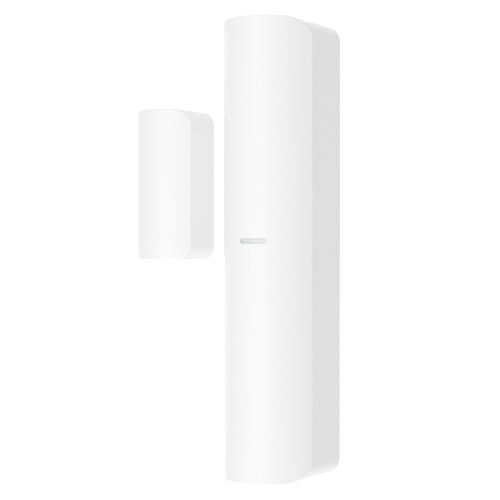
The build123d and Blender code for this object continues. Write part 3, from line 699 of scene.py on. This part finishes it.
def solder_joints():
    """A hollow cone of solder round each leg, and the dome where it comes out in front of the board."""
    cones, pads = bmesh.new(), bmesh.new()
    hollow = [(0.35 + 0.65 * (1 - t) ** 2.2, t * 1.1) for t in (0, 0.2, 0.4, 0.6, 0.8, 1)]
    for x, z, radius in joint_places():
        cone = [(radius * across, radius * along) for across, along in hollow]
        add_turned(cones, (x, BOARD_REAR, z), [*cone, (0.0, radius * 1.2)], 20)
        dome = [(radius * math.cos(t), -0.5 * radius * math.sin(t)) for t in DOME_TURNS]
        add_turned(cones, (x, BOARD_LOW.y, z), [*dome, (0.0, -0.5 * radius)], 20)
        ring = radius * 1.35
        for face in (BOARD_REAR, BOARD_LOW.y - COPPER_HEIGHT):
            add_turned(pads, (x, face, z), ((ring, 0.0), (ring, COPPER_HEIGHT)), 24)
    make_piece("solder_joints", cones, SOLDER, "housing", 60.0)
    make_piece("solder_pads", pads, GOLD, "housing")


# ---- Copper and print on the board ----
def bent(start, end):
    """Two points joined by a line that leaves each one upright and crosses at 45 degrees."""
    across, up = end[0] - start[0], end[1] - start[1]
    drop = math.copysign(min(abs(across), abs(up)), up)
    lead = (up - drop) / 2
    return [start, (start[0], start[1] + lead), (end[0], start[1] + lead + drop), end]


def board_tracks():
    """Copper lines under the solder mask, with a plated hole at the end of each."""
    chip_low, chip_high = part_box("controller_chip")
    radio_low, radio_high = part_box("radio_board")
    radio_foot = radio_low.z - 0.6 * MM
    routes = []
    for k in range(5):
        step = k * TRACK_STEP
        start = (chip_low.x + 0.8 * MM + step, chip_high.z + 0.2 * MM)
        routes.append(bent(start, (radio_low.x + 9.0 * MM + step, radio_foot)))
    for k in range(4):
        step = k * TRACK_STEP
        start = (chip_low.x - 1.0 * MM - step, chip_high.z + 1.4 * MM)
        routes.append(bent(start, (radio_low.x + 2.55 * MM - step, radio_foot)))
    reed, past_reed = centre("reed_glass"), 10.6 * MM
    for k in range(3):
        x = reed.x - 1.4 * MM + k * 0.9 * MM
        low_end, high_end = BOARD_LOW.z + 1.2 * MM + k * MM, BOARD_HIGH.z - 4.0 * MM - k * MM
        routes.append(bent((x, low_end), (x - 0.4 * MM, reed.z - past_reed)))
        routes.append(bent((x + 0.2 * MM, reed.z + past_reed), (x, high_end)))
    for k in range(2):
        x = BOARD_HIGH.x - 0.5 * MM - k * 0.6 * MM
        routes.append(bent((x, chip_low.z), (x, radio_low.z - k * MM)))
    antenna_low, antenna_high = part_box("antenna")
    feed = antenna_high.x - ANTENNA_END
    routes.append(bent((feed, antenna_low.z), (feed + 1.2 * MM, radio_high.z + 0.4 * MM)))
    rim, bore, depth = 0.30 * MM, 0.15 * MM, 0.01 * MM
    ring = ((rim, 0.0), (rim, COPPER_HEIGHT), (bore, COPPER_HEIGHT), (0.13 * MM, depth))
    lines, holes = bmesh.new(), bmesh.new()
    for route in routes:
        add_track(lines, route, TRACK_WIDTH, TRACK_HEIGHT)
        for x, z in (route[0], route[-1]):
            add_turned(holes, (x, BOARD_REAR, z), ring, 16)
    make_piece("board_tracks", lines, TRACK, "housing")
    make_piece("board_vias", holes, GOLD, "housing")


def outline(shape, low, high, room, width=INK_WIDTH):
    """A printed frame round a part, drawn a little way outside it."""
    x0, x1, z0, z1 = low.x - room, high.x + room, low.z - room, high.z + room
    corners = [(x0, z0), (x1, z0), (x1, z1), (x0, z1), (x0, z0)]
    add_track(shape, corners, width, INK_HEIGHT)


def board_print():
    """White frames round the parts, plus and minus by the contacts, and a ring round the plunger's tube."""
    ink = bmesh.new()
    for node, room in (
        ("controller_chip", 0.55),
        ("storage_capacitor", 0.4),
        ("crystal", 0.3),
        ("radio_board", 0.45),
        ("enrol_switch", 1.25),
    ):
        low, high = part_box(node)
        outline(ink, low, high, room * MM)
    for low, high in islands("chip_parts"):
        outline(ink, low, high, 0.28 * MM, 0.10 * MM)
    tube = centre("tamper_tube")
    low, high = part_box("tamper_tube")
    radius = (high.x - low.x) / 2 + 0.3 * MM
    turns = [2 * math.pi * k / 40 for k in range(41)]
    circle = [(tube.x + radius * math.cos(t), tube.z + radius * math.sin(t)) for t in turns]
    add_track(ink, circle, INK_WIDTH, INK_HEIGHT)
    half, level, stroke = 0.55 * MM, BOARD_LOW.z + 2.2 * MM, 0.2 * MM
    plus = centre("positive_contact").x + 2.0 * MM
    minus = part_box("negative_contact")[1].x - 2.2 * MM
    for x in (plus, minus):
        add_track(ink, [(x - half, level), (x + half, level)], stroke, INK_HEIGHT)
    add_track(ink, [(plus, level - half), (plus, level + half)], stroke, INK_HEIGHT)
    make_piece("board_print", ink, SILK, "housing")


def indicator_lamp():
    """A small surface lamp: a white tray, two tinned ends and a yellow lens."""
    low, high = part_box("indicator_led")
    middle = (low + high) / 2
    lens_radius, lens_depth = 0.42 * MM, 0.2 * MM
    rim, edge, end = low.y + 0.22 * MM, 0.2 * MM, 0.3 * MM
    tray, lens, ends = bmesh.new(), bmesh.new(), bmesh.new()
    add_block(tray, (low.x + edge, rim, low.z), (high.x - edge, high.y, high.z), 0.05 * MM)
    dome = [(lens_radius * math.cos(t), -lens_depth * math.sin(t)) for t in DOME_TURNS]
    add_turned(lens, (middle.x, rim, middle.z), [*dome, (0.0, -lens_depth)], 24)
    for x0, x1 in ((low.x, low.x + end), (high.x - end, high.x)):
        add_block(ends, (x0, high.y - end, low.z), (x1, high.y, high.z), 0.05 * MM)
    piece = make_piece("lamp_tray", tray, LAMP_BODY, "housing")
    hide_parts("indicator_led")
    make_piece("lamp_lens", lens, LAMP, "housing", 60.0)
    make_piece("lamp_ends", ends, SOLDER, "housing")


# ---- Cell ----
def cell_marks():
    """A plus and a minus printed on the cell's film, on the side that shows when the cover is off."""
    low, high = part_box("battery_sleeve")
    middle, radius = (low + high) / 2, (high.x - low.x) / 2 + 0.012 * MM
    marks = bmesh.new()

    def on_film(turn, z):
        return (middle.x + radius * math.sin(turn), middle.y + radius * math.cos(turn), z)

    half_turn, half_bar, width = 0.19, 1.6 * MM, 0.8 * MM
    plus_z, minus_z = high.z - 4.4 * MM, low.z + 4.0 * MM
    turns = [half_turn * (k / 6 - 1) for k in range(13)]
    for z in (plus_z, minus_z):
        add_strip(marks, [on_film(turn, z) for turn in turns], (0, 0, 1), width, INK_HEIGHT)
    upright = [on_film(0, plus_z - half_bar), on_film(0, plus_z + half_bar)]
    add_strip(marks, upright, (1, 0, 0), width, INK_HEIGHT * 1.1)
    make_piece("cell_marks", marks, INK, "housing")


# ---- Adhesive pads ----
def adhesive_pad(node, body, seed):
    """Closed-cell foam with a waxed liner, which has a split across it and lies slightly uneven."""
    low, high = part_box(node)
    foam = bmesh.new()
    add_block(foam, low, (high.x, high.y - LINER_ROOM, high.z), 0.12 * MM, 3)
    core = make_piece(node + "_foam", foam, FOAM, body)
    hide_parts(node)
    liner = bmesh.new()
    split = low.z + (high.z - low.z) * LINER_SPLIT
    edge, slit = 0.12 * MM, 0.08 * MM
    phase = random.Random(seed).uniform(0, math.pi)
    for z0, z1 in ((low.z + edge, split - slit), (split + slit, high.z - edge)):
        add_liner(liner, (low.x + edge, high.x - edge), (z0, z1), high.y, phase)
    make_piece(node + "_liner", liner, LINER, body, 60.0)


def add_liner(shape, across, along, face, phase):
    """One half of a liner: a thin sheet, clipped at its corners, whose surface rises and falls slightly."""
    columns, rows = 18, 18
    grid = {}
    for row in range(rows + 1):
        z = along[0] + (along[1] - along[0]) * row / rows
        near_end = min(z - along[0], along[1] - z)
        cut = LINER_CORNER * max(0.0, 1 - near_end / LINER_CORNER) ** 2 * 0.5
        for column in range(columns + 1):
            share = column / columns
            x = across[0] + cut + (across[1] - across[0] - 2 * cut) * share
            wave = math.sin(share * 5 + phase) * math.cos(row / rows * 7 + phase)
            top = face - LINER_DEPTH - LINER_WAVE * (1 + wave)
            grid[row, column] = (shape.verts.new((x, top, z)), shape.verts.new((x, top - LINER_SHEET, z)))
    for row in range(rows):
        for column in range(columns):
            cell = [grid[row, column], grid[row, column + 1]]
            cell += [grid[row + 1, column + 1], grid[row + 1, column]]
            shape.faces.new([pair[0] for pair in cell])
            shape.faces.new([pair[1] for pair in reversed(cell)])
    border = [(0, c) for c in range(columns)] + [(r, columns) for r in range(rows)]
    border += [(rows, c) for c in range(columns, 0, -1)] + [(r, 0) for r in range(rows, 0, -1)]
    for first, second in zip(border, border[1:] + border[:1]):
        shape.faces.new((grid[first][0], grid[second][0], grid[second][1], grid[first][1]))


# ---- Camera, lights and floor ----
def towards(azimuth):
    """The direction from the object to a viewer or light at an azimuth."""
    return Vector((math.sin(azimuth), -math.cos(azimuth), 0))


def place_camera():
    data = bpy.data.cameras.new("camera")
    data.lens = LENS
    data.sensor_width = SENSOR_WIDTH_MM
    data.clip_start = 0.01
    camera = bpy.data.objects.new("camera", data)
    bpy.context.scene.collection.objects.link(camera)
    out = towards(VIEW_AZIMUTH)
    right = Vector((math.cos(VIEW_AZIMUTH), math.sin(VIEW_AZIMUTH), 0))
    camera.location = out * CAMERA_DISTANCE + right * CAMERA_SIDE
    camera.rotation_euler = (-out).to_track_quat("-Z", "Y").to_euler()
    bpy.context.scene.camera = camera


def light_world():
    """White to the camera, and a softer even light for the object."""
    world = bpy.data.worlds.new("studio")
    bpy.context.scene.world = world
    world.use_nodes = True
    tree = world.node_tree
    tree.nodes.clear()
    output = tree.nodes.new("ShaderNodeOutputWorld")
    mix = tree.nodes.new("ShaderNodeMixShader")
    path = tree.nodes.new("ShaderNodeLightPath")
    tree.links.new(path.outputs["Is Camera Ray"], mix.inputs["Fac"])
    for slot, strength in ((1, SKY_LIGHT), (2, SKY_SEEN)):
        sky = tree.nodes.new("ShaderNodeBackground")
        sky.inputs["Color"].default_value = (1, 1, 1, 1)
        sky.inputs["Strength"].default_value = strength
        tree.links.new(sky.outputs["Background"], mix.inputs[slot])
    tree.links.new(mix.outputs["Shader"], output.inputs["Surface"])


def area_light(name, place, target, size, power):
    data = bpy.data.lights.new(name, "AREA")
    data.shape = "RECTANGLE"
    data.size, data.size_y = size
    data.energy = power
    light = bpy.data.objects.new(name, data)
    bpy.context.scene.collection.objects.link(light)
    light.location = place
    aim = Vector(target) - Vector(place)
    light.rotation_euler = aim.to_track_quat("-Z", "Y").to_euler()
    light.visible_camera = False


def light_gap():
    """A small lamp by the sensor's left side, for the magnet unit's near wall."""
    low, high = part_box("magnet_cover")
    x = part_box("front_housing")[0].x - GAP_CLEARANCE
    y = low.y + (high.y - low.y) * GAP_REARWARD
    z = (low.z + high.z) / 2
    area_light("gap", (x, y, z), (high.x, y, z), GAP_SIZE, GAP_POWER)


def light_object():
    """The key light in front, with fill lights on the left, behind, below and above."""
    middle, fill = (0, 0, 0), (FILL_SIZE, FILL_SIZE)
    area_light("key", towards(KEY_AZIMUTH) * KEY_DISTANCE, middle, (KEY_SIZE, KEY_SIZE), KEY_POWER)
    area_light("left", towards(LEFT_AZIMUTH) * LEFT_DISTANCE, middle, fill, LEFT_POWER)
    light_gap()
    area_light("rear", REAR_PLACE, middle, fill, REAR_POWER)
    area_light("below", BELOW_PLACE, middle, fill, BELOW_POWER)
    area_light("above", ABOVE_PLACE, middle, fill, ABOVE_POWER)


def make_floor():
    """A pale floor that only the camera sees. The light from below is a lamp of its own."""
    data = bpy.data.meshes.new("floor")
    half, low = FLOOR_HALF, CAD_BOX[0][2] - FLOOR_DROP
    corners = [(-half, -half, low), (half, -half, low), (half, half, low), (-half, half, low)]
    data.from_pydata(corners, [], [(0, 1, 2, 3)])
    floor = bpy.data.objects.new("floor", data)
    bpy.context.scene.collection.objects.link(floor)
    material = surface("floor", (0.92, 0.92, 0.92), 0.85, tint=0.01, mottle=3.0, grain=60.0, bump=0.02)
    shader = shader_of(material)
    shader.inputs["Emission Color"].default_value = (1, 1, 1, 1)
    shader.inputs["Emission Strength"].default_value = FLOOR_GLOW
    data.materials.append(material)
    floor.visible_diffuse = False
    floor.visible_glossy = False
    floor.visible_shadow = False


passives()
crystal()
capacitor()
controller()
radio_module()
enrol_cover()
enrol_legs()
solder_joints()
board_tracks()
board_print()
indicator_lamp()
cell_marks()
adhesive_pad("upper_pad", "back_plate", 1)
adhesive_pad("lower_pad", "back_plate", 2)
adhesive_pad("magnet_pad", "magnet_base", 3)

place_camera()
light_world()
light_object()
make_floor()
bpy.context.scene.view_settings.view_transform = "Standard"
